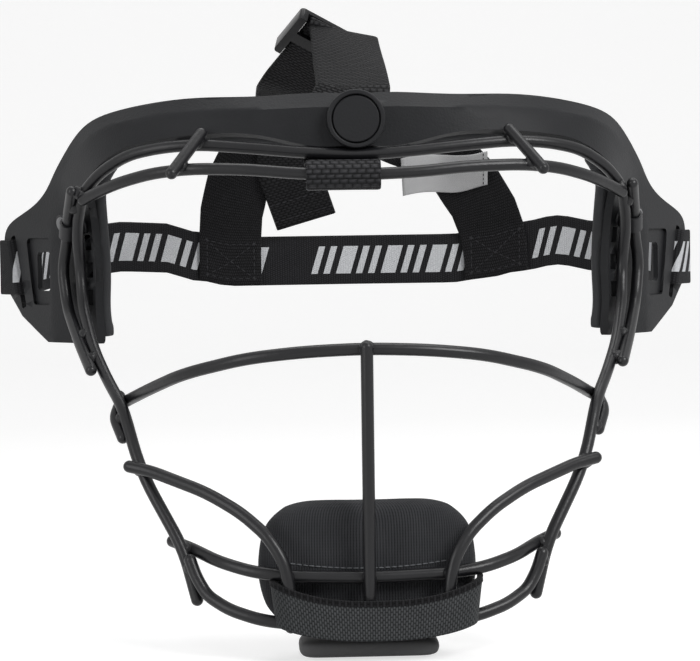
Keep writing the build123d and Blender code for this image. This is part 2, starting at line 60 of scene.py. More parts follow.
print("nodes:", len(frame["nodes"]))

# %% [markdown]
# ## Camera
# The photograph looks almost straight at the face from about 0.9 m, a little from the left and
# slightly tilted. The camera stands level with the strap slots and looks down a little, which
# puts the eye line where the photograph has it without any shift.

# %% Camera
image_width = 700
focal_pixels = 2417.0
sensor_width = 36.0
camera_distance = 0.900
look_turn = radians(2.28)
look_down = radians(2.14)
camera_roll = radians(0.9)
near_clip = 0.05
aim = Vector((0.0007, 0, 0))


def make_camera():
    """A camera that looks at the aim from the photograph's side, height and roll."""
    level = Vector((sin(look_turn), cos(look_turn), 0))
    side = Vector((cos(look_turn), -sin(look_turn), 0))
    forward = level * cos(look_down) - Vector((0, 0, sin(look_down)))
    up = side.cross(forward)
    right = side * cos(camera_roll) - up * sin(camera_roll)
    top = up * cos(camera_roll) + side * sin(camera_roll)
    data = bpy.data.cameras.new("camera")
    data.sensor_fit = "HORIZONTAL"
    data.sensor_width = sensor_width
    data.lens = focal_pixels / image_width * sensor_width
    data.clip_start = near_clip
    camera = bpy.data.objects.new("camera", data)
    turn = Matrix((right, top, -forward)).transposed().to_4x4()
    camera.matrix_world = Matrix.Translation(aim - level * camera_distance) @ turn
    bpy.context.scene.collection.objects.link(camera)
    bpy.context.scene.camera = camera
    print("lens", round(data.lens, 1), "mm at", tuple(round(v, 3) for v in camera.location))


make_camera()

# %% [markdown]
# ## Small helpers for node trees
# Every finish is built from shader nodes. Short helpers keep the cells readable: they add a node
# and fill its inputs, do arithmetic, blend colours, and start and finish a group.

# %% Node helpers
def add_node(tree, kind, inputs=None, **settings):
    """A new node with its settings, and its inputs linked or filled."""
    node = tree.nodes.new(kind)
    for name, value in settings.items():
        setattr(node, name, value)
    for name, value in (inputs or {}).items():
        socket = node.inputs[name]
        if isinstance(value, bpy.types.NodeSocket):
            tree.links.new(value, socket)
        else:
            socket.default_value = value
    return node


def compute(tree, operation, *values):
    """What a Math node makes of one or two values."""
    return add_node(tree, "ShaderNodeMath", dict(enumerate(values)), operation=operation).outputs[0]


def blend_colours(tree, share, first, second):
    """A colour between two, in which 0, 6, 7 and 2 are the Mix node's own colour sockets."""
    node = add_node(tree, "ShaderNodeMix", data_type="RGBA")
    for index, value in ((0, share), (6, first), (7, second)):
        if isinstance(value, bpy.types.NodeSocket):
            tree.links.new(value, node.inputs[index])
        else:
            node.inputs[index].default_value = value
    return node.outputs[2]


def new_group(name, inputs, outputs, kind="ShaderNodeTree"):
    """An empty node group with named sockets, and its input and output nodes."""
    tree = bpy.data.node_groups.new(name, kind)
    for socket_name, socket_kind, value in inputs:
        socket = tree.interface.new_socket(socket_name, in_out="INPUT", socket_type=socket_kind)
        if value is not None:
            socket.default_value = value
    for socket_name, socket_kind in outputs:
        tree.interface.new_socket(socket_name, in_out="OUTPUT", socket_type=socket_kind)
    return tree, tree.nodes.new("NodeGroupInput"), tree.nodes.new("NodeGroupOutput")


def finish_group(tree, out, results):
    """Links the results to the group's outputs."""
    for name, value in results.items():
        tree.links.new(value, out.inputs[name])
    return tree


# %% [markdown]
# ## Shared effects
# Four effects come back on many pieces, so each is a group: a fine grain for moulded and coated
# surfaces, a weave for webbing and elastic, upright ribs for the knitted chin cover, and rubbed
# patches for dust and handling. Each group only puts out heights and masks.

# %% Grain group
def make_grain():
    """A fine grain for moulded and coated surfaces, and a broad shade."""
    tree, given, out = new_group(
        "fine_grain",
        [("Place", "NodeSocketVector", None), ("Grain Scale", "NodeSocketFloat", 900.0)],
        [("Height", "NodeSocketFloat"), ("Shade", "NodeSocketFloat")],
    )
    scale = given.outputs["Grain Scale"]
    fine = add_node(tree, "ShaderNodeTexNoise", {
        "Vector": given.outputs["Place"], "Scale": scale, "Detail": 3.0, "Roughness": 0.6,
    })
    cells = add_node(tree, "ShaderNodeTexVoronoi", {
        "Vector": given.outputs["Place"], "Scale": compute(tree, "MULTIPLY", scale, 0.8),
    })
    broad = add_node(tree, "ShaderNodeTexNoise", {
        "Vector": given.outputs["Place"], "Scale": compute(tree, "MULTIPLY", scale, 0.05),
        "Detail": 2.0,
    })
    height = compute(tree, "ADD", fine.outputs["Fac"],
                     compute(tree, "MULTIPLY", cells.outputs["Distance"], 0.6))
    return finish_group(tree, out, {"Height": height, "Shade": broad.outputs["Fac"]})


grain_group = make_grain()

# %% Weave group
def make_weave():
    """Yarns over and under each other, in millimetres on a strap's own map."""
    tree, given, out = new_group(
        "strap_weave",
        [("Place", "NodeSocketVector", None), ("Rib Pitch", "NodeSocketFloat", 1.2),
         ("Row Pitch", "NodeSocketFloat", 0.9)],
        [("Height", "NodeSocketFloat"), ("Shade", "NodeSocketFloat")],
    )
    split = add_node(tree, "ShaderNodeSeparateXYZ", {"Vector": given.outputs["Place"]})
    along = compute(tree, "DIVIDE", split.outputs["X"], given.outputs["Row Pitch"])
    row = compute(tree, "FLOOR", along)
    shift = compute(tree, "MULTIPLY", compute(tree, "FLOORED_MODULO", row, 2.0), 0.5)
    across = compute(tree, "DIVIDE", split.outputs["Y"], given.outputs["Rib Pitch"])
    wave = compute(tree, "SINE", compute(tree, "MULTIPLY", compute(tree, "ADD", across, shift), pi))
    yarn = compute(tree, "SINE", compute(tree, "MULTIPLY", along, pi))
    bulge = compute(tree, "MULTIPLY", compute(tree, "ABSOLUTE", wave),
                    compute(tree, "ABSOLUTE", yarn))
    height = compute(tree, "POWER", bulge, 0.6)
    spread = add_node(tree, "ShaderNodeTexNoise", {
        "Vector": given.outputs["Place"], "Scale": 0.35, "Detail": 4.0,
    })
    return finish_group(tree, out, {"Height": height, "Shade": spread.outputs["Fac"]})


weave_group = make_weave()

# %% Knit group
def make_knit():
    """Upright ribs with small loops, which also run round the pad's sides."""
    tree, given, out = new_group(
        "rib_knit",
        [("Place", "NodeSocketVector", None), ("Rib Pitch", "NodeSocketFloat", 0.00105)],
        [("Height", "NodeSocketFloat"), ("Shade", "NodeSocketFloat")],
    )
    split = add_node(tree, "ShaderNodeSeparateXYZ", {"Vector": given.outputs["Place"]})
    sideways = compute(tree, "ABSOLUTE", split.outputs["X"])
    around = compute(tree, "ADD", sideways, split.outputs["Y"])
    rib = compute(tree, "DIVIDE", around, given.outputs["Rib Pitch"])
    ridge = compute(tree, "ABSOLUTE", compute(tree, "SINE", compute(tree, "MULTIPLY", rib, pi)))
    stitch = compute(tree, "DIVIDE", split.outputs["Z"], given.outputs["Rib Pitch"])
    lean = compute(tree, "ADD", stitch, compute(tree, "MULTIPLY", ridge, 0.5))
    loop = compute(tree, "ABSOLUTE", compute(tree, "SINE", compute(tree, "MULTIPLY", lean, pi)))
    height = compute(tree, "ADD", compute(tree, "POWER", ridge, 0.7),
                     compute(tree, "MULTIPLY", loop, 0.25))
    spread = add_node(tree, "ShaderNodeTexNoise", {
        "Vector": given.outputs["Place"], "Scale": 180.0, "Detail": 4.0,
    })
    return finish_group(tree, out, {"Height": height, "Shade": spread.outputs["Fac"]})


knit_group = make_knit()

# %% Rubbed patches group
def make_rub():
    """A mask of soft patches, larger as the amount grows."""
    tree, given, out = new_group(
        "rubbed_patches",
        [("Place", "NodeSocketVector", None), ("Patch Scale", "NodeSocketFloat", 60.0),
         ("Amount", "NodeSocketFloat", 0.5)],
        [("Mask", "NodeSocketFloat")],
    )
    noise = add_node(tree, "ShaderNodeTexNoise", {
        "Vector": given.outputs["Place"], "Scale": given.outputs["Patch Scale"],
        "Detail": 6.0, "Roughness": 0.65,
    })
    low = compute(tree, "SUBTRACT", 1.0, given.outputs["Amount"])
    mask = add_node(tree, "ShaderNodeMapRange", {
        "Value": noise.outputs["Fac"], "From Min": low, "From Max": 1.0,
    })
    return finish_group(tree, out, {"Mask": mask.outputs["Result"]})


rub_group = make_rub()
print("effect groups:", [group.name for group in bpy.data.node_groups])

# %% [markdown]
# ## Finishes
# Most of the guard is nearly black, so its pieces differ by gloss and texture more than by
# colour. A finish is a Principled shader with its colour and roughness varied by an effect group
# and a shallow bump of the right size. In woven and knitted finishes the low places of the
# pattern also take a painted shade, darker where the yarns dip. A flat colour would be shorter,
# but would look like one material everywhere. Fixed numbers, such as sheen, sit on the shader
# itself.

# %% Finish builder
pattern_groups = {"grain": grain_group, "weave": weave_group, "knit": knit_group}
patch_amount = 0.45
# The share of the dark colour that the painted shade keeps in a pattern's low places.
groove_shade_share = 0.12
dust_gain = 1.4
dust_lift = 0.008
bump_strength = 0.7


def rgb(red, green, blue):
    return (red, green, blue, 1.0)


def make_finish(name, dark, light, rough, pattern, sizes, depth, rub=0.12, **fixed):
    """A finish between two colours and two roughnesses, with a pattern of the given sizes. A weave
    or knit also gets a painted shade in its low places.
    """
    material = bpy.data.materials.new(name)
    material.use_nodes = True
    tree = material.node_tree
    shader = tree.nodes["Principled BSDF"]
    coordinates = add_node(tree, "ShaderNodeTexCoord")
    place = coordinates.outputs["UV" if pattern == "weave" else "Object"]
    effect = add_node(tree, "ShaderNodeGroup", node_tree=pattern_groups[pattern])
    tree.links.new(place, effect.inputs["Place"])
    for socket, value in sizes.items():
        effect.inputs[socket].default_value = value
    wear = add_node(tree, "ShaderNodeGroup", node_tree=rub_group)
    tree.links.new(coordinates.outputs["Object"], wear.inputs["Place"])
    wear.inputs["Amount"].default_value = patch_amount
    colour = blend_colours(tree, effect.outputs["Shade"], dark, light)
    # Painted shade: a weave or knit is coloured darker where its yarns dip, standing in for the
    # shade between them.
    if pattern != "grain":
        groove_shade_colour = [channel * groove_shade_share for channel in dark[:3]] + [1.0]
        colour = blend_colours(tree, effect.outputs["Height"], groove_shade_colour, colour)
    dust = [min(channel * dust_gain + dust_lift, 1.0) for channel in light[:3]] + [1.0]
    worn = compute(tree, "MULTIPLY", wear.outputs["Mask"], rub)
    tree.links.new(blend_colours(tree, worn, colour, dust), shader.inputs["Base Color"])
    roughness = add_node(tree, "ShaderNodeMapRange", {
        "Value": effect.outputs["Shade"], "To Min": rough[0], "To Max": rough[1],
    })
    tree.links.new(roughness.outputs["Result"], shader.inputs["Roughness"])
    bump = add_node(tree, "ShaderNodeBump", {
        "Height": effect.outputs["Height"], "Strength": bump_strength, "Distance": depth,
    })
    tree.links.new(bump.outputs["Normal"], shader.inputs["Normal"])
    for socket, value in fixed.items():
        shader.inputs[socket.replace("_", " ")].default_value = value
    return material


def grained(name, dark, light, rough, scale, depth, specular=0.5, sheen=0.0):
    """A finish with a fine grain. The depth of its bump is in millimetres."""
    return make_finish(name, rgb(*dark), rgb(*light), rough, "grain", {"Grain Scale": scale},
                       depth * mm, Specular_IOR_Level=specular, Sheen_Weight=sheen)


def woven(name, dark, light, rough, rib, row, depth, specular=0.5, sheen=0.0, rub=0.12):
    """A finish with yarns. Their pitches and the depth of the bump are in millimetres."""
    return make_finish(name, rgb(*dark), rgb(*light), rough, "weave",
                       {"Rib Pitch": rib, "Row Pitch": row}, depth * mm, rub,
                       Specular_IOR_Level=specular, Sheen_Weight=sheen)


# %% Wires, plastics and metal
powder_coat = grained("powder_coat", (0.006, 0.006, 0.007), (0.011, 0.011, 0.0125),
                      (0.28, 0.38), scale=1100.0, depth=0.05, specular=0.32)
weld_coat = grained("weld_coat", (0.006, 0.006, 0.007), (0.011, 0.011, 0.0125),
                    (0.34, 0.46), scale=700.0, depth=0.1, specular=0.32)
shell_plastic = grained("shell_plastic", (0.013, 0.0134, 0.0148), (0.019, 0.0195, 0.0212),
                        (0.42, 0.54), scale=1500.0, depth=0.07, specular=0.14)
badge_plastic = grained("badge_plastic", (0.013, 0.0133, 0.0147), (0.019, 0.0194, 0.021),
                        (0.36, 0.48), scale=1300.0, depth=0.05, specular=0.16)
slider_plastic = grained("slider_plastic", (0.004, 0.004, 0.005), (0.008, 0.008, 0.009),
                         (0.20, 0.28), scale=500.0, depth=0.02, specular=0.22)
clip_plastic = grained("clip_plastic", (0.018, 0.018, 0.020), (0.028, 0.028, 0.030),
                       (0.42, 0.52), scale=900.0, depth=0.03, specular=0.3)
rivet_coat = grained("rivet_coat", (0.13, 0.132, 0.137), (0.18, 0.182, 0.188),
                     (0.38, 0.50), scale=800.0, depth=0.03)

# %% Foams and cloths
liner_foam = grained("liner_foam", (0.036, 0.037, 0.040), (0.052, 0.053, 0.056),
                     (0.62, 0.78), scale=2200.0, depth=0.08, specular=0.2, sheen=0.05)
base_foam = grained("base_foam", (0.095, 0.095, 0.097), (0.115, 0.115, 0.117),
                    (0.62, 0.76), scale=2000.0, depth=0.08, specular=0.2, sheen=0.04)
chin_knit = make_finish(
    "chin_knit", rgb(0.028, 0.029, 0.032), rgb(0.050, 0.051, 0.055), (0.80, 0.92), "knit",
    {"Rib Pitch": 0.00095}, 0.00030, Sheen_Weight=0.06, Specular_IOR_Level=0.12,
)
band_knit = woven("band_knit", (0.050, 0.053, 0.055), (0.095, 0.100, 0.104),
                  (0.80, 0.92), rib=1.9, row=0.80, depth=0.32, specular=0.12, sheen=0.06)
hem_cloth = woven("hem_cloth", (0.010, 0.010, 0.011), (0.026, 0.026, 0.028),
                  (0.75, 0.88), rib=4.0, row=1.0, depth=0.3, specular=0.1, sheen=0.03)
webbing_cloth = woven("webbing_cloth", (0.010, 0.010, 0.011), (0.032, 0.032, 0.034),
                      (0.44, 0.62), rib=2.3, row=1.1, depth=0.75, specular=0.08)
riser_cloth = woven("riser_cloth", (0.010, 0.010, 0.011), (0.028, 0.028, 0.030),
                    (0.66, 0.82), rib=0.9, row=1.2, depth=0.45, specular=0.1, sheen=0.03)
sleeve_cloth = woven("sleeve_cloth", (0.016, 0.016, 0.018), (0.052, 0.052, 0.056),
                     (0.40, 0.58), rib=2.9, row=1.5, depth=1, specular=0.12)
tag_cloth = woven("tag_cloth", (0.78, 0.78, 0.79), (0.88, 0.88, 0.89),
                  (0.70, 0.82), rib=0.45, row=0.40, depth=0.05, sheen=0.1, rub=0.05)
thread = grained("thread", (0.014, 0.014, 0.016), (0.034, 0.034, 0.037),
                 (0.55, 0.70), scale=3000.0, depth=0.05, specular=0.2)
pale_thread = grained("pale_thread", (0.10, 0.105, 0.112), (0.16, 0.165, 0.175),
                      (0.60, 0.75), scale=3000.0, depth=0.05, specular=0.2)

# %% [markdown]
# ## The patterned elastic
# The rear elastic has pale marks woven into it. Here they are plain slanted bars, one broad and
# two narrow, and so on, with a wider gap after each few groups. The pattern lies on the strap's
# own UV map, which counts in millimetres, so it follows the strap round the head.

# %% Patterned elastic
mark_period = 18.4
mark_slant = 0.30
mark_half_height = 5.6
mark_bars = [(0.0, 6.0), (8.6, 11.2), (13.6, 16.2)]
groups_in_run = 4


def make_patterned_elastic():
    """Black elastic with runs of pale slanted bars woven in."""
    material = woven("patterned_elastic", (0.016, 0.016, 0.018), (0.030, 0.030, 0.033),
                     (0.66, 0.82), rib=0.8, row=1.0, depth=0.2, specular=0.12, sheen=0.04)
    tree = material.node_tree
    shader = tree.nodes["Principled BSDF"]
    ground = shader.inputs["Base Color"].links[0].from_socket
    place = add_node(tree, "ShaderNodeTexCoord").outputs["UV"]
    split = add_node(tree, "ShaderNodeSeparateXYZ", {"Vector": place})
    across = split.outputs["Y"]
    along = compute(tree, "ADD", split.outputs["X"], compute(tree, "MULTIPLY", across, mark_slant))
    count = compute(tree, "DIVIDE", along, mark_period)
    reach = compute(tree, "MULTIPLY", compute(tree, "FRACT", count), mark_period)
    bars = 0.0
    for first, last in mark_bars:
        bar = compute(tree, "MULTIPLY", compute(tree, "GREATER_THAN", reach, first),
                      compute(tree, "LESS_THAN", reach, last))
        bars = compute(tree, "ADD", bars, bar)
    group = compute(tree, "FLOORED_MODULO", compute(tree, "FLOOR", count), groups_in_run + 1.0)
    shown = compute(tree, "LESS_THAN", group, groups_in_run - 0.5)
    tall = compute(tree, "LESS_THAN", compute(tree, "ABSOLUTE", across), mark_half_height)
    marks = compute(tree, "MULTIPLY", compute(tree, "MULTIPLY", bars, shown), tall)
    yarn = add_node(tree, "ShaderNodeTexNoise", {"Vector": place, "Scale": 1.6, "Detail": 3.0})
    pale = blend_colours(tree, yarn.outputs["Fac"], rgb(0.42, 0.43, 0.45), rgb(0.72, 0.73, 0.75))
    tree.links.new(blend_colours(tree, marks, ground, pale), shader.inputs["Base Color"])
    return material


patterned_elastic = make_patterned_elastic()
print("finishes:", len(bpy.data.materials))

# %% [markdown]
# ## Wires and small hard pieces
# Bent steel wires carry the guard, a round badge sits on the brow, and a riveted clip holds each
# side wire. Their solids already have the true shape, so they stay and only take a finish.

# %% Finish the solids that stay
def wear_finish(node, material):
    target = frame["nodes"][node]
    if not target.material_slots:
        target.data.materials.append(material)
    for slot in target.material_slots:
        slot.material = material


sides = ("left_", "right_")
wire_nodes = ["frame_wire", "lower_brow_wire", "nose_arch_wire", "mouth_wire", "chin_wire",
              "centre_bar"]
wire_nodes += [side + name for side in sides for name in ("brow_stub", "outer_wire", "cheek_wire")]
for name in wire_nodes:
    wear_finish(name, powder_coat)
for name in ("badge_ring", "badge_disc"):
    wear_finish(name, badge_plastic)
for side in sides:
    wear_finish(side + "wire_clip", clip_plastic)
    wear_finish(side + "clip_rivet", rivet_coat)
print("wires:", len(wire_nodes))

# %% [markdown]
# ## Mesh helpers
# A piece is made here in one of two ways. A hard or padded piece is a copy of its solid with the
# loose triangles joined, shaped by modifiers that are then applied. A strap is a ribbon: rows of
# points from one edge to the other, given a thickness, rounded edges and a UV map in
# millimetres, so a weave keeps its real size.

# %% Copying and applying
def link(piece):
    bpy.context.scene.collection.objects.link(piece)
    return piece


def face_outwards(mesh, merge=0):
    """Turns the normals outwards, after points closer than the merge distance are joined."""
    shape = bmesh.new()
    shape.from_mesh(mesh)
    if merge:
        bmesh.ops.remove_doubles(shape, verts=shape.verts, dist=merge)
    bmesh.ops.recalc_face_normals(shape, faces=shape.faces)
    shape.to_mesh(mesh)
    shape.free()


def merged_copy(node, name):
    """A copy of a node's solid, in place, with its loose triangles joined."""
    mesh = frame["nodes"][node].data.copy()
    mesh.name = name
    mesh.transform(frame["nodes"][node].matrix_world)
    face_outwards(mesh, merge=0.01 * mm)
    mesh.materials.clear()
    return link(bpy.data.objects.new(name, mesh))


def applied(piece):
    """Replaces the piece's mesh by what its modifiers make of it."""
    evaluated = piece.evaluated_get(bpy.context.evaluated_depsgraph_get())
    mesh = bpy.data.meshes.new_from_object(evaluated)
    piece.modifiers.clear()
    piece.data = mesh
    return piece


def dressed(piece, material):
    piece.data.materials.clear()
    piece.data.materials.append(material)
    piece.data.shade_smooth()
    return piece


def rounded_edges(piece, width, segments, least_angle):
    """Rounds the edges that turn by more than the least angle, in degrees."""
    bevel = piece.modifiers.new("edge", "BEVEL")
    bevel.width = width
    bevel.segments = segments
    bevel.limit_method = "ANGLE"
    bevel.angle_limit = radians(least_angle)
    return applied(piece)


# %% Ribbon builder
edge_shares = (0.0, 0.012, 0.04, 0.10, 0.22, 0.36, 0.50, 0.64, 0.78, 0.90, 0.96, 0.988, 1.0)
edge_profile = (0.30, 0.78, 1.0, 1.0, 0.95, 0.93, 0.93, 0.93, 0.95, 1.0, 1.0, 0.78, 0.30)
middle_column = len(edge_shares) // 2


def across_row(first, second):
    """A row of points from one edge of a strap to the other, close together near the edges."""
    return [first.lerp(second, share) for share in edge_shares]


def ribbon(name, rows, thickness, material, closed=False):
    """A strap through rows of points, with rounded edges and UVs in millimetres."""
    count, width = len(rows), len(edge_shares)
    spans = count if closed else count - 1
    tops, bottoms = [], []
    for index, row in enumerate(rows):
        before = rows[(index - 1) % count] if closed or index else row
        after = rows[(index + 1) % count] if closed or index < count - 1 else row
        for place, point in enumerate(row):
            along = after[place] - before[place]
            side = row[min(place + 1, width - 1)] - row[max(place - 1, 0)]
            out = along.cross(side).normalized() * (thickness / 2 * edge_profile[place])
            tops.append(point + out)
            bottoms.append(point - out)
    lengths = [0.0]
    for index in range(spans):
        run = rows[(index + 1) % count][middle_column] - rows[index][middle_column]
        lengths.append(lengths[-1] + run.length / mm)
    breadth = (rows[0][-1] - rows[0][0]).length / mm
    faces = []
    for i in range(spans):
        for j in range(width - 1):
            faces.append([(0, i, j), (0, i + 1, j), (0, i + 1, j + 1), (0, i, j + 1)])
            faces.append([(1, i, j), (1, i, j + 1), (1, i + 1, j + 1), (1, i + 1, j)])
        for j in (0, width - 1):
            faces.append([(0, i, j), (1, i, j), (1, i + 1, j), (0, i + 1, j)])
    if not closed:
        for i in (0, spans):
            for j in range(width - 1):
                faces.append([(0, i, j), (0, i, j + 1), (1, i, j + 1), (1, i, j)])
    mesh = bpy.data.meshes.new(name)
    numbers = [[side * count * width + (i % count) * width + j for side, i, j in face]
               for face in faces]
    mesh.from_pydata(tops + bottoms, [], numbers)
    layer = mesh.uv_layers.new(name="strap")
    for polygon, face in zip(mesh.polygons, faces):
        for corner, (side, i, j) in zip(polygon.loop_indices, face):
            layer.data[corner].uv = (lengths[i], (edge_shares[j] - 0.5) * breadth)
    face_outwards(mesh)
    return dressed(link(bpy.data.objects.new(name, mesh)), material)


# %% Paths with rounded corners
longest_turn_share = 0.48


def rounded(points, radii, steps=6):
    """The run of points with each inner corner turned in the given number of steps."""
    path = [points[0]]
    for before, corner, after, radius in zip(points, points[1:], points[2:], radii):
        run_in, run_out = (before - corner).normalized(), (after - corner).normalized()
        shorter = min((before - corner).length, (after - corner).length)
        reach = min(radius, shorter * longest_turn_share)
        first, last = corner + run_in * reach, corner + run_out * reach
        for step in range(steps + 1):
            share = step / steps
            path.append(first.lerp(corner, share).lerp(corner.lerp(last, share), share))
    return path + [points[-1]]


def evened(points, spacing):
    """The same path with steps no longer than the spacing."""
    path = [points[0]]
    for first, second in zip(points, points[1:]):
        steps = max(1, int((second - first).length / spacing + 0.5))
        path += [first.lerp(second, (step + 1) / steps) for step in range(steps)]
    return path


def eased(table, place):
    """The value at a place in a table, with soft turns between its rows, and 0 outside it."""
    for (low, first), (high, last) in zip(table, table[1:]):
        if low <= place <= high:
            share = (place - low) / (high - low)
            return first + (last - first) * share * share * (3 - 2 * share)
    return 0.0


# %% [markdown]
# ## Brow shell
# The shell spreads a blow over the brow and carries the strap slots. It is one moulding, so its
# edges are a little rounded and catch the light. A copy of the solid gets a narrow bevel on its
# sharp edges, which keeps every slot and window where it is. A moulded grain covers all of it.

# %% Brow shell
shell_edge = 0.45 * mm


def make_shell():
    shell = merged_copy("brow_shell", "shell_moulding")
    dressed(rounded_edges(shell, shell_edge, 2, 38), shell_plastic)
    shell.data.set_sharp_from_angle(angle=radians(32))
    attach(shell, "root")
    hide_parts("brow_shell")
    print("shell faces:", len(shell.data.polygons))


make_shell()

# %% [markdown]
# ## Foam and padded pieces
# The liners and the chin pad are soft. Each starts as a copy of its solid, is remeshed evenly
# and a little smaller, and swells under pressure in a short cloth simulation, which rounds the
# edges as foam under a skin does. No point may move further than a set cap.

# %% Swelling a pad
cloth_stiffness = 25
cloth_frames = 20
smooth_rounds = 6


def swollen(node, name, voxel, shrink, pressure, cap, material):
    """A padded copy of a solid, in which no point moves further than the cap."""
    pad = merged_copy(node, name)
    remesh = pad.modifiers.new("even", "REMESH")
    remesh.mode = "VOXEL"
    remesh.voxel_size = voxel
    applied(pad)
    mesh = pad.data
    for vertex, normal in [(v, v.normal.copy()) for v in mesh.vertices]:
        vertex.co -= normal * shrink
    start = [vertex.co.copy() for vertex in mesh.vertices]
    cloth = pad.modifiers.new("cloth", "CLOTH")
    cloth.settings.use_pressure = True
    cloth.settings.uniform_pressure_force = pressure
    cloth.settings.effector_weights.gravity = 0
    cloth.settings.tension_stiffness = cloth_stiffness
    cloth.settings.compression_stiffness = cloth_stiffness
    for number in range(1, cloth_frames + 1):
        bpy.context.scene.frame_set(number)
    applied(pad)
    bpy.context.scene.frame_set(1)
    for vertex, before in zip(pad.data.vertices, start):
        move = vertex.co - before
        if move.length > cap:
            vertex.co = before + move * (cap / move.length)
    smooth = pad.modifiers.new("smooth", "SMOOTH")
    smooth.factor = 0.5
    smooth.iterations = smooth_rounds
    finer = pad.modifiers.new("finer", "SUBSURF")
    finer.levels = finer.render_levels = 1
    applied(pad)
    dressed(pad, material)
    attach(pad, "root")
    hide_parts(node)
    print(name, "points:", len(pad.data.vertices))
    return pad


# %% Liners
liner_swell = {"voxel": 2.2 * mm, "shrink": 0.5 * mm, "pressure": 3.0, "cap": 0.9 * mm}
for side in sides:
    temple = swollen(side + "temple_pad", side + "temple_foam", material=liner_foam, **liner_swell)
forehead = swollen("forehead_pad", "forehead_foam", material=liner_foam, **liner_swell)

# %% Chin pad
chin_cushion = swollen("chin_pad", "chin_cushion", voxel=3.0 * mm, shrink=1.0 * mm,
                       pressure=4.0, cap=2.0 * mm, material=chin_knit)
chin_foot = swollen("chin_pad_base", "chin_foot", voxel=1.8 * mm, shrink=0.3 * mm,
                    pressure=2.0, cap=0.5 * mm, material=base_foam)

# %% [markdown]
# ## Chin band
# A knitted band ties the chin pad to the wires. It goes round their front and back beside the
# pad, with a dark hem on its upper edge. It sits a little to the right, and its ends climb, so
# from the front its upper edge dips like a smile. Its plan is half of a rounded box, which a
# formula gives with fewer numbers than a list of points.

# %% Chin band
band_middle = 2.4 * mm
band_half_width = 33.2 * mm
band_taper = 1.6 * mm
band_front = -146.7 * mm
band_back = -132.0 * mm
band_low = -125.8 * mm
band_high = -113.2 * mm
band_low_rise = 4.2 * mm
band_high_rise = 6.4 * mm
band_thickness = 1.3 * mm
hem_height = 1.8 * mm
hem_extra = 0.4 * mm
band_roundness = 4.2
band_climb = 2.4
band_steps = 72


def band_path(level, rise, half_width=band_half_width):
    """One edge of the band: half a rounded box in plan, with ends that climb by the rise."""
    points = []
    for step in range(band_steps + 1):
        angle = pi * step / band_steps
        across, ahead = -cos(angle), sin(angle)
        sideways = abs(across) ** (2 / band_roundness) * (1 if across > 0 else -1)
        forwards = ahead ** (2 / band_roundness)
        lift = rise * abs(sideways) ** band_climb
        points.append(Vector((
            band_middle + sideways * half_width,
            band_back + (band_front - band_back) * forwards,
            level + lift,
        )))
    return points


def make_chin_band():
    low = band_path(band_low, band_low_rise, band_half_width - band_taper)
    high = band_path(band_high - hem_height * 0.5, band_high_rise)
    band = ribbon("chin_wrap", [across_row(a, b) for a, b in zip(low, high)], band_thickness,
                  band_knit)
    hem_low = band_path(band_high - hem_height, band_high_rise)
    hem_high = band_path(band_high, band_high_rise)
    hem = ribbon("chin_hem", [across_row(a, b) for a, b in zip(hem_low, hem_high)],
                 band_thickness + hem_extra, hem_cloth)
    for piece in (band, hem):
        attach(piece, "root")
    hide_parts("chin_band")
    print("chin band points:", len(band.data.vertices), "and hem:", len(hem.data.vertices))


make_chin_band()

# %% [markdown]
# ## Webbing over the crown
# The webbing starts at the sleeve, runs up inside the shell to the slider, folds over there and
# runs back and down to the risers. It leans to the left behind the fold, and near the fold its
# right edge drops. It is a ribbon through the same corners as its solid.

# %% Crown webbing
crown_corners = [
    (-5.0, -103.8, 24.7), (-5.0, -91.5, 25.0), (-5.0, -88.4, 31.5), (-5.0, -87.2, 41.2),
    (0.0, -81.0, 50.8), (-1.5, -37.0, 74.5), (-20.5, -9.0, 54.0), (-20.5, 40.0, 54.0),
    (-20.5, 65.7, 53.0), (-20.0, 76.3, 28.0), (-13.0, 85.8, 8.0),
]
crown_bends = [2.0, 1.0, 3.0, 2.0, 2.0, 5.0, 1.0, 3.8, 2.8]
tilt_table = [(0.00, 0.0), (0.18, 0.0), (0.345, 0.25), (0.52, 0.25), (0.66, 0.0), (1.00, 0.0)]
webbing_width = 25.0 * mm
webbing_thickness = 1.5 * mm
webbing_spacing = 1.8 * mm


def crown_rows():
    """Rows across the webbing, tilted where its right edge drops."""
    corners = [Vector(corner) * mm for corner in crown_corners]
    path = evened(rounded(corners, [bend * mm for bend in crown_bends]), webbing_spacing)
    reach = [0.0]
    for first, second in zip(path, path[1:]):
        reach.append(reach[-1] + (second - first).length)
    rows = []
    last = len(path) - 1
    for index, middle in enumerate(path):
        run = path[min(index + 1, last)] - path[max(index - 1, 0)]
        out = Vector((1, 0, -eased(tilt_table, reach[index] / reach[-1]))).cross(run)
        half = run.cross(out).normalized() * (webbing_width / 2)
        rows.append(across_row(middle - half, middle + half))
    return rows


crown_strap = ribbon("crown_strap", crown_rows(), webbing_thickness, webbing_cloth)
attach(crown_strap, "root")
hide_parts("crown_webbing")
print("crown strap rows:", len(crown_strap.data.vertices) // (2 * len(edge_shares)))

# %% [markdown]
# ## Sleeve on the brow wire
# The crown webbing hangs from a short piece of coarse webbing that is folded round the lower
# brow wire. A plain tube would do for the shape, but a closed ribbon with an oval section also
# keeps the coarse weave at its real size.

# %% Brow sleeve
sleeve_place = Vector((-5.0 * mm, -108.0 * mm, 21.4 * mm))
sleeve_half_height = 4.4 * mm
sleeve_half_depth = 3.3 * mm
sleeve_length = 24.5 * mm
sleeve_thickness = 1.3 * mm
sleeve_steps = 40


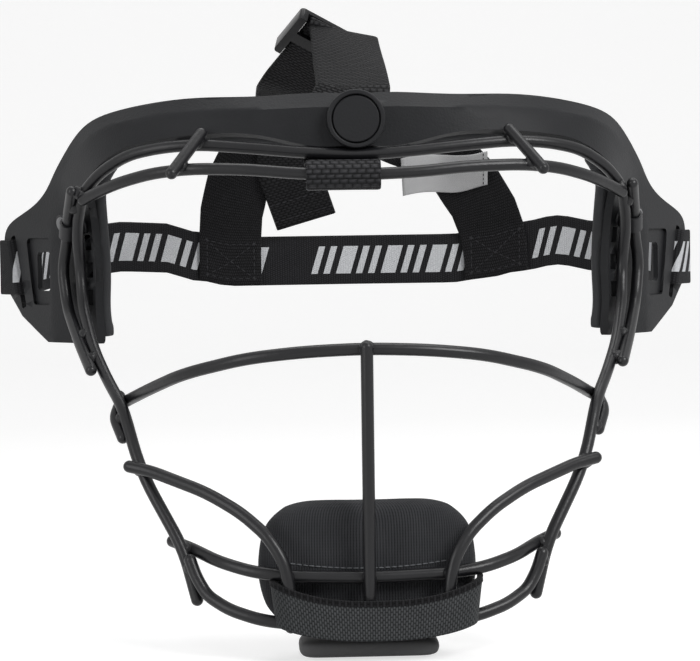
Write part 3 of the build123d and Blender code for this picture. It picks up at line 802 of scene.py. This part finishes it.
def make_sleeve():
    rows = []
    for step in range(sleeve_steps):
        angle = 2 * pi * step / sleeve_steps
        section = Vector((0, cos(angle) * sleeve_half_depth, sin(angle) * sleeve_half_height))
        half = Vector((sleeve_length / 2, 0, 0))
        rows.append(across_row(sleeve_place + section - half, sleeve_place + section + half))
    sleeve = ribbon("wire_sleeve", rows, sleeve_thickness, sleeve_cloth, closed=True)
    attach(sleeve, "root")
    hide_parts("brow_sleeve")
    print("sleeve rows:", len(rows))


make_sleeve()

# %% [markdown]
# ## Crown slider
# The slider is a small glossy frame that takes up the length of the webbing. Its solid is
# right, so a copy only gets rounded edges, which draw the bright lines of a moulded piece.

# %% Crown slider
slider_edge = 0.45 * mm


def make_slider():
    slider = merged_copy("crown_slider", "glossy_slider")
    dressed(rounded_edges(slider, slider_edge, 3, 30), slider_plastic)
    slider.data.set_sharp_from_angle(angle=radians(40))
    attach(slider, "crown_slider")
    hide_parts("crown_slider")
    print("slider faces:", len(slider.data.polygons))


make_slider()

# %% [markdown]
# ## Rear elastic
# One elastic goes round the back of the head. At each wing it passes through the slot from
# inside, folds round the wing's outer bar and comes back on the outside as a tail. The slot
# leans, so each row of the ribbon folds at its own place. Nothing holds it up at the back, so it
# lies in a slow wave, higher beside the temples. Between the guard and the rear harness the
# elastic stretches.

# %% Rear elastic path
strap_half_width = 119.5
strap_straight_start = 8.0
strap_straight_end = 35.0
strap_back = 95.0
strap_top = 2.0
elastic_width = 20.0
elastic_layer = 1.6
elastic_thickness = 1.15 * mm
elastic_spacing = 3.0 * mm
elastic_bends = [4.0, 1.6, 1.6, 1.6, 1.6, 5.0]
back_steps = 30
tail_end = 38.0
tail_play = 0.4
wing_ridge = Vector((106.5, -33.7))
wing_tip = Vector((126.0, -2.0))
slot_lean = radians(18.0)
slot_inset = 10.25
slot_middle = -9.65
loop_out = 1.45
loop_back = -4.15
loop_slack = 2.05
wave_table = [
    (-119.0, 0.0), (-104.0, 4.0), (-88.0, 6.8), (-72.0, 6.2), (-57.0, 2.4), (-44.0, 0.0),
    (46.0, 0.0), (60.0, 1.7), (74.0, 4.4), (88.0, 6.8), (104.0, 4.0), (119.0, 0.0),
]


def wing_point(along, out):
    """A place in plan beside the right wing, along it from its ridge and out from its face."""
    direction = (wing_tip - wing_ridge).normalized()
    normal = Vector((direction.y, -direction.x))
    return wing_ridge + direction * along + normal * out


def strap_depth(sideways, inset):
    """How far back the rear strap's curve lies at a place across the head, inset inwards."""
    half_width = strap_half_width - inset
    depth = strap_back - strap_straight_end - inset
    return strap_straight_end + depth * sqrt(max(0.0, 1 - (sideways / half_width) ** 2))


def elastic_half(level):
    """The right half of the elastic at one level, from its tail's end to the back's middle."""
    length = (wing_tip - wing_ridge).length
    slot = length - slot_inset + (level - slot_middle) * sin(slot_lean) / cos(slot_lean)
    edge = length + loop_slack
    tail = strap_half_width + elastic_layer / 2 + tail_play
    inner = strap_half_width - elastic_layer / 2
    corners = [
        Vector((tail, tail_end)), Vector((tail, strap_straight_start)),
        wing_point(edge, loop_back), wing_point(edge, loop_out),
        wing_point(slot, loop_out), wing_point(slot, loop_back),
        Vector((inner, strap_straight_start)), Vector((inner, strap_straight_end)),
    ]
    path = rounded(corners, elastic_bends, steps=5)
    depth = strap_back - strap_straight_end - elastic_layer / 2
    for step in range(1, back_steps + 1):
        angle = pi / 2 * step / back_steps
        path.append(Vector((inner * cos(angle), strap_straight_end + depth * sin(angle))))
    return [Vector((point.x, point.y, level)) * mm for point in path]


# %% Rear elastic
def make_rear_elastic():
    low, high = elastic_half(strap_top - elastic_width), elastic_half(strap_top)
    right = [across_row(a, b) for a, b in zip(low, high)]
    left = [[Vector((-p.x, p.y, p.z)) for p in row] for row in reversed(right[:-1])]
    for row in right + left:
        for point in row:
            if point.y > strap_straight_end * mm:
                point.z += eased(wave_table, point.x / mm) * mm
    rows = []
    for first, second in zip(right + left, (right + left)[1:]):
        run = second[middle_column] - first[middle_column]
        steps = max(1, int(run.length / elastic_spacing))
        for step in range(steps):
            rows.append([a.lerp(b, step / steps) for a, b in zip(first, second)])
    rows.append((right + left)[-1])
    elastic = ribbon("rear_elastic", rows, elastic_thickness, patterned_elastic)
    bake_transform(elastic)
    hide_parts("rear_strap", "left_strap_loop", "right_strap_loop")
    print("elastic rows:", len(rows))


make_rear_elastic()

# %% [markdown]
# ## Risers
# Two elastic straps rise from the inside of the rear elastic and meet behind the crown
# webbing's end, and hold the guard level. Each row lies on the inside of the head's curve, which
# leans forward above the rear elastic. A few stations per strap say where it is and how far it
# has turned, because a strap keeps its width as it turns.

# %% Risers
riser_width = 25.0
riser_thickness = 1.4 * mm
riser_gap = 0.45
lean_share = 0.42
riser_reach = 46.0
riser_steps = 5
left_riser_stations = [
    (-44.0, -17.5, 0), (-44.1, -8.0, 0), (-44.0, 1.0, -1), (-43.3, 11.0, -6),
    (-40.5, 23.0, -20), (-34.5, 35.5, -45), (-23.5, 44.0, -72), (-10.0, 46.5, -90),
]
right_riser_stations = [
    (64.0, -17.5, 0), (63.7, -8.0, 0), (62.4, 1.0, 3), (58.8, 11.0, 9), (51.2, 24.0, 24),
    (38.0, 37.0, 48), (20.0, 44.6, 73), (5.0, 46.4, 84), (-9.8, 46.5, 90),
]


def on_harness(sideways, up, inset):
    """A point inside the head's curve, which waves with the rear elastic low down."""
    lean = max(up - strap_top, 0) * lean_share
    back = strap_depth(sideways, elastic_layer) - lean - inset
    fading = 1 - min(max(up / riser_reach, 0), 1)
    return Vector((sideways, back, up + eased(wave_table, sideways) * fading)) * mm


def riser_rows(stations):
    """Rows across a riser. A station is its middle's place and how far its row turns, in degrees."""
    middles = []
    for low, high in zip(stations, stations[1:]):
        for step in range(riser_steps):
            middles.append([a + (b - a) * step / riser_steps for a, b in zip(low, high)])
    middles.append(stations[-1])
    rows = []
    for sideways, up, turn in middles:
        cross = Vector((cos(radians(turn)), sin(radians(turn)))) * (riser_width / 2)
        rows.append([on_harness(sideways + cross.x * (share * 2 - 1), up + cross.y * (share * 2 - 1),
                                riser_gap + elastic_layer / 2) for share in edge_shares])
    return rows


for side, stations in zip(sides, (left_riser_stations, right_riser_stations)):
    riser = ribbon(side + "riser", riser_rows(stations), riser_thickness, riser_cloth)
    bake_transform(riser)
    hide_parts(side + "v_strap")
    print(riser.name, "points:", len(riser.data.vertices))

# %% [markdown]
# ## Care tag
# A small blank cloth tag is sewn to the right riser. It is a thin ribbon that lies in a shallow
# wave, and towards its sewn end it twists, so it looks narrower there. A formula for both is
# enough for so small a cloth, and gives the same result each time.

# %% Care tag
tag_middle = Vector((42.6, 26.2))
tag_width = 34.0
tag_height = 15.0
tag_thickness = 0.5 * mm
tag_tilt = radians(4.0)
tag_wave = 0.8
tag_swell = 0.9
tag_clearance = 1.6
tag_twist = radians(25.0)
twist_from_share = 0.4
twist_run_share = 0.5
tag_steps = 24


def tag_point(along, up):
    """A point of the tag from its left end (0) to its right end (1), and up from its middle."""
    share = min(max((along - twist_from_share) / twist_run_share, 0), 1)
    twist = tag_twist * share * share * (3 - 2 * share)
    level = up * cos(twist) + tag_wave * sin(2 * pi * along)
    sideways = (along - 0.5) * tag_width
    x = tag_middle.x + sideways * cos(tag_tilt) - level * sin(tag_tilt)
    z = tag_middle.y + sideways * sin(tag_tilt) + level * cos(tag_tilt)
    swell = tag_swell * (1 + cos(2 * pi * along)) * (1 - share)
    out = (up + tag_height / 2) * sin(twist) + swell
    return on_harness(x, z, riser_gap + elastic_layer + tag_clearance + out)


def make_tag():
    rows = []
    for step in range(tag_steps + 1):
        along = step / tag_steps
        rows.append(across_row(tag_point(along, -tag_height / 2), tag_point(along, tag_height / 2)))
    tag = ribbon("blank_tag", rows, tag_thickness, tag_cloth)
    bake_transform(tag)
    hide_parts("care_tag")
    print("tag:", tag_width, "by", tag_height, "mm flat")


make_tag()

# %% [markdown]
# ## Weld beads
# Where two wires cross they are welded, and the powder coat rounds each joint into a small
# lump. The places are found by measuring which points of one wire lie on the other. Geometry
# Nodes then put an uneven bead on each place.

# %% Find the welds
weld_reach = 0.9 * mm
weld_spread = 14 * mm


def surface_of(mesh):
    """The mesh as a tree that finds its nearest place and what a ray hits."""
    return BVHTree.FromPolygons([vertex.co for vertex in mesh.vertices],
                                [list(polygon.vertices) for polygon in mesh.polygons])


def wire_tree(node):
    """Points every millimetre along a wire's mesh edges, and its surface for searching."""
    mesh = frame["nodes"][node].data
    corners = [vertex.co.copy() for vertex in mesh.vertices]
    points = []
    for edge in mesh.edges:
        first, second = [corners[index] for index in edge.vertices]
        steps = max(1, int((second - first).length / mm))
        points += [first.lerp(second, step / steps) for step in range(steps)]
    return points, surface_of(mesh)


def weld_places():
    """The middle of each group of points at which one wire touches another."""
    wires = {name: wire_tree(name) for name in wire_nodes}
    places = []
    for first, second in frame["record"]["behaviour"]["press_fits"]:
        if first not in wires or second not in wires:
            continue
        groups = []
        for point in wires[first][0]:
            if wires[second][1].find_nearest(point, weld_reach)[0] is None:
                continue
            for group in groups:
                if (group[0] - point).length < weld_spread:
                    group.append(point)
                    break
            else:
                groups.append([point])
        for group in groups:
            places.append(sum(group, Vector()) / len(group))
    return places


welds = weld_places()
print("welds:", len(welds))

# %% Bead nodes
bead_radius = 2.5 * mm
bead_unevenness = 0.9 * mm
bead_stretch = (1.0, 0.86, 0.94)
bead_noise = 520.0


def bead_tree():
    """A node tree that puts an uneven ball on each point."""
    tree, given, out = new_group(
        "weld_beads",
        [("Geometry", "NodeSocketGeometry", None), ("Bead Radius", "NodeSocketFloat", 0.002),
         ("Unevenness", "NodeSocketFloat", 0.0003), ("Seed", "NodeSocketInt", 7),
         ("Finish", "NodeSocketMaterial", None)],
        [("Geometry", "NodeSocketGeometry")], "GeometryNodeTree",
    )
    points = add_node(tree, "GeometryNodeMeshToPoints", {"Mesh": given.outputs["Geometry"]})
    ball = add_node(tree, "GeometryNodeMeshIcoSphere", {
        "Radius": given.outputs["Bead Radius"], "Subdivisions": 4,
    })
    turn = add_node(tree, "FunctionNodeRandomValue", {"Seed": given.outputs["Seed"]},
                    data_type="FLOAT_VECTOR")
    turn.inputs["Max"].default_value = (pi, pi, pi)
    placed = add_node(tree, "GeometryNodeInstanceOnPoints", {
        "Points": points.outputs["Points"], "Instance": ball.outputs["Mesh"],
        "Rotation": turn.outputs["Value"], "Scale": bead_stretch,
    })
    real = add_node(tree, "GeometryNodeRealizeInstances", {"Geometry": placed.outputs["Instances"]})
    noise = add_node(tree, "ShaderNodeTexNoise", {"Scale": bead_noise, "Detail": 1.0})
    lift = compute(tree, "MULTIPLY", compute(tree, "SUBTRACT", noise.outputs["Fac"], 0.5),
                   given.outputs["Unevenness"])
    push = add_node(tree, "ShaderNodeVectorMath", {
        0: add_node(tree, "GeometryNodeInputNormal").outputs["Normal"], "Scale": lift,
    }, operation="SCALE")
    moved = add_node(tree, "GeometryNodeSetPosition", {
        "Geometry": real.outputs["Geometry"], "Offset": push.outputs["Vector"],
    })
    smooth = add_node(tree, "GeometryNodeSetShadeSmooth", {"Geometry": moved.outputs["Geometry"]})
    coated = add_node(tree, "GeometryNodeSetMaterial", {
        "Geometry": smooth.outputs["Geometry"], "Material": given.outputs["Finish"],
    })
    return finish_group(tree, out, {"Geometry": coated.outputs["Geometry"]})


def grown(name, points, edges, tree, values):
    """A plain mesh grown by a node tree from points and the edges between them."""
    mesh = bpy.data.meshes.new(name)
    mesh.from_pydata(points, edges, [])
    piece = link(bpy.data.objects.new(name, mesh))
    nodes = piece.modifiers.new("nodes", "NODES")
    nodes.node_group = tree
    for item in tree.interface.items_tree:
        if item.in_out == "INPUT" and item.name in values:
            nodes[item.identifier] = values[item.name]
    return applied(piece)


beads = grown("weld_beads", welds, [], bead_tree(), {
    "Bead Radius": bead_radius, "Unevenness": bead_unevenness, "Seed": 7, "Finish": weld_coat,
})
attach(beads, "root")
print("bead points:", len(beads.data.vertices))

# %% [markdown]
# ## Stitches
# Seams show as short rows of thread. Each seam is drawn as a line of points on the cloth, and
# one node tree lays a small rounded stitch at even steps along every line. Real stitches catch
# the light and cast shadows, which a bump in the cloth would not.

# %% Stitch nodes
stitch_segments = 6
stitch_rings = 5


def stitch_tree():
    """A node tree that lays long balls along lines, each stretched into a stitch."""
    tree, given, out = new_group(
        "seam_stitches",
        [("Geometry", "NodeSocketGeometry", None), ("Step", "NodeSocketFloat", 0.0026),
         ("Stitch Length", "NodeSocketFloat", 0.0019), ("Thread Radius", "NodeSocketFloat", 0.0003),
         ("Finish", "NodeSocketMaterial", None)],
        [("Geometry", "NodeSocketGeometry")], "GeometryNodeTree",
    )
    curve = add_node(tree, "GeometryNodeMeshToCurve", {"Mesh": given.outputs["Geometry"]})
    points = add_node(tree, "GeometryNodeCurveToPoints", {
        "Curve": curve.outputs["Curve"], "Length": given.outputs["Step"],
    }, mode="LENGTH")
    ball = add_node(tree, "GeometryNodeMeshUVSphere", {
        "Segments": stitch_segments, "Rings": stitch_rings, "Radius": 1.0,
    })
    radius = given.outputs["Thread Radius"]
    size = add_node(tree, "ShaderNodeCombineXYZ", {
        "X": radius, "Y": radius,
        "Z": compute(tree, "MULTIPLY", given.outputs["Stitch Length"], 0.5),
    })
    placed = add_node(tree, "GeometryNodeInstanceOnPoints", {
        "Points": points.outputs["Points"], "Instance": ball.outputs["Mesh"],
        "Rotation": points.outputs["Rotation"], "Scale": size.outputs["Vector"],
    })
    real = add_node(tree, "GeometryNodeRealizeInstances", {"Geometry": placed.outputs["Instances"]})
    smooth = add_node(tree, "GeometryNodeSetShadeSmooth", {"Geometry": real.outputs["Geometry"]})
    sewn = add_node(tree, "GeometryNodeSetMaterial", {
        "Geometry": smooth.outputs["Geometry"], "Material": given.outputs["Finish"],
    })
    return finish_group(tree, out, {"Geometry": sewn.outputs["Geometry"]})


seams = stitch_tree()


def sewn(name, lines, material, slot, step=2.6 * mm, length=2.0 * mm, radius=0.28 * mm):
    """One piece of stitches along several lines of points."""
    points, edges = [], []
    for line in lines:
        start = len(points)
        points += line
        edges += [(start + i, start + i + 1) for i in range(len(line) - 1)]
    piece = grown(name, points, edges, seams, {
        "Step": step, "Stitch Length": length, "Thread Radius": radius, "Finish": material,
    })
    points_each = (stitch_rings - 1) * stitch_segments + 2
    print(name, "stitches:", len(piece.data.vertices) // points_each)
    return piece


# %% Stitches on the risers and the rear elastic
box_middles = (-44.0, 63.6)
box_half_width = 9.5
box_low = -15.0
box_high = -1.0
thread_lift = 0.72
line_steps = 8


def harness_box(middle):
    """A sewn box with a cross, on the inner face of the harness."""
    left, right = middle - box_half_width, middle + box_half_width
    ends = [(left, box_low, right, box_low), (right, box_low, right, box_high),
            (right, box_high, left, box_high), (left, box_high, left, box_low),
            (left, box_low, right, box_high), (left, box_high, right, box_low)]
    shares = [step / line_steps for step in range(line_steps + 1)]
    face = riser_gap + elastic_layer / 2 + thread_lift
    return [[on_harness(x + (to_x - x) * share, z + (to_z - z) * share, face) for share in shares]
            for x, z, to_x, to_z in ends]


box_lines = [line for middle in box_middles for line in harness_box(middle)]
riser_stitches = sewn("riser_stitches", box_lines, thread, "webbing")
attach(riser_stitches, "rear_harness")

# %% Stitches on the sleeve
sleeve_seam_inset = 2.2 * mm
sleeve_seam_half = 3.2 * mm
sleeve_seam_bow = 1.4 * mm
sleeve_thread_lift = 0.35 * mm


def sleeve_lines():
    """An upright line near each end of the sleeve, bowed back as the sleeve's front is round."""
    front = sleeve_place.y - sleeve_half_depth - sleeve_thread_lift
    lines = []
    for side in (-1, 1):
        x = sleeve_place.x + side * (sleeve_length / 2 - sleeve_seam_inset)
        lines.append([Vector((x, front + abs(share) ** 3 * sleeve_seam_bow,
                              sleeve_place.z + share * sleeve_seam_half))
                      for share in (-1, -0.5, 0, 0.5, 1)])
    return lines


sleeve_stitches = sewn("sleeve_stitches", sleeve_lines(), thread, "sleeve_webbing",
                       step=1.9 * mm, length=1.5 * mm, radius=0.22 * mm)
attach(sleeve_stitches, "root")

# %% Seam on the chin pad
seam_half_length = 24 * mm
seam_level = -104.0 * mm
seam_rise = 1.6 * mm
seam_lift = 0.12 * mm
seam_steps = 40


def chin_seam():
    """A seam across the front of the chin pad, found by looking at the pad from the front."""
    cushion = surface_of(chin_cushion.data)
    line = []
    for step in range(seam_steps + 1):
        share = step / seam_steps * 2 - 1
        start = Vector((share * seam_half_length, -0.2, seam_level + seam_rise * share ** 2))
        hit = cushion.ray_cast(start, Vector((0, 1, 0)))[0]
        if hit is not None:
            line.append(hit - Vector((0, seam_lift, 0)))
    return line


seam_line = sewn("chin_seam", [chin_seam()], pale_thread, "chin_fabric", step=2.0 * mm,
                 length=1.9 * mm, radius=0.26 * mm)
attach(seam_line, "root")

# %% Stitches on the crown webbing's end
def crown_end_lines():
    """Two lines across the webbing's end, on its front face."""
    rows = crown_rows()
    lines = []
    for back in (2, 6):
        row = rows[-1 - back]
        run = row[middle_column] - rows[-2 - back][middle_column]
        side = row[middle_column + 1] - row[middle_column - 1]
        out = run.cross(side).normalized() * (webbing_thickness / 2)
        face = -1 if out.y > 0 else 1
        lines.append([point + out * face for point in row[2:-2]])
    return lines


crown_stitches = sewn("crown_stitches", crown_end_lines(), thread, "webbing")
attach(crown_stitches, "root")

# %% Stitches on the tag
tag_seam_share = 0.95
tag_seam_margin = 1.2
tag_thread_lift = 0.35 * mm


def tag_lines():
    """An upright line near the tag's sewn end."""
    line = []
    for step in range(line_steps + 1):
        up = (step / line_steps - 0.5) * (tag_height - 2 * tag_seam_margin)
        line.append(tag_point(tag_seam_share, up) - Vector((0, tag_thread_lift, 0)))
    return [line]


tag_stitches = sewn("tag_stitches", tag_lines(), thread, "tag_fabric", step=1.9 * mm,
                    length=1.5 * mm, radius=0.2 * mm)
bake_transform(tag_stitches)

# %% [markdown]
# ## Floor, backdrop and light
# A plain pale sweep stands under and behind the guard. A large soft lamp on the right, a weaker
# one on the left and a strip above give the black wires their long soft highlights. The room
# itself is a dim white light, which looks white where it is seen.

# %% Floor and backdrop
floor_level = -133.2 * mm
paper_glow = 0.66
sweep_half_width = 3.0
sweep_profile = [
    (-2.2, 0.0), (0.9, 0.0), (1.2, 0.03), (1.42, 0.12), (1.55, 0.3), (1.6, 0.6), (1.6, 2.4),
]


def seen_rays(tree):
    """1 for what the camera sees, also through glass or in a reflection, and 0 for light."""
    path = add_node(tree, "ShaderNodeLightPath")
    rays = path.outputs["Is Camera Ray"]
    for name in ("Is Glossy Ray", "Is Transmission Ray"):
        rays = compute(tree, "MAXIMUM", rays, path.outputs[name])
    return rays


def make_paper():
    """Pale paper that looks white to the camera and in reflections, and keeps its shadows."""
    paper = bpy.data.materials.new("studio_paper")
    paper.use_nodes = True
    tree = paper.node_tree
    shader = tree.nodes["Principled BSDF"]
    shader.inputs["Base Color"].default_value = (0.50, 0.50, 0.50, 1)
    shader.inputs["Roughness"].default_value = 0.9
    shader.inputs["Specular IOR Level"].default_value = 0.1
    tree.links.new(compute(tree, "MULTIPLY", seen_rays(tree), paper_glow),
                   shader.inputs["Emission Strength"])
    shader.inputs["Emission Color"].default_value = (1, 1, 1, 1)
    return paper


def make_sweep():
    """A sheet of paper that lies flat and curls up far behind the guard."""
    points = [(side * sweep_half_width, back, floor_level + up)
              for back, up in sweep_profile for side in (-1, 1)]
    faces = [(i, i + 1, i + 3, i + 2) for i in range(0, len(points) - 2, 2)]
    mesh = bpy.data.meshes.new("studio_sweep")
    mesh.from_pydata(points, [], faces)
    mesh.shade_smooth()
    sweep = link(bpy.data.objects.new("studio_sweep", mesh))
    mesh.materials.append(make_paper())
    print("sweep faces:", len(faces))


make_sweep()

# %% Lights
room_light = 0.32
room_seen = 0.92


def area_light(name, place, target, size, power):
    """A soft lamp at a place that shines at a target."""
    data = bpy.data.lights.new(name, "AREA")
    data.shape = "RECTANGLE"
    data.size, data.size_y = size
    data.energy = power
    lamp = link(bpy.data.objects.new(name, data))
    lamp.location = place
    lamp.rotation_euler = (Vector(target) - Vector(place)).to_track_quat("-Z", "Y").to_euler()
    print(name, "lamp:", power, "W")


area_light("key", (0.75, -0.95, 0.75), (0, -0.05, -0.02), (0.6, 0.6), 13.0)
area_light("fill", (-0.9, -0.8, 0.25), (0, -0.05, -0.04), (0.5, 0.8), 4.0)
area_light("top", (0.1, 0.15, 0.95), (0, -0.02, 0), (0.9, 0.4), 4.0)


def make_world():
    """A white room: dim as a light, white where it is seen, also in reflections."""
    world = bpy.data.worlds.new("studio")
    world.use_nodes = True
    tree = world.node_tree
    room = tree.nodes["Background"]
    room.inputs["Color"].default_value = (1, 1, 1, 1)
    lift = compute(tree, "MULTIPLY", seen_rays(tree), room_seen - room_light)
    tree.links.new(compute(tree, "ADD", lift, room_light), room.inputs["Strength"])
    bpy.context.scene.world = world


make_world()
bpy.context.scene.view_settings.view_transform = "Standard"
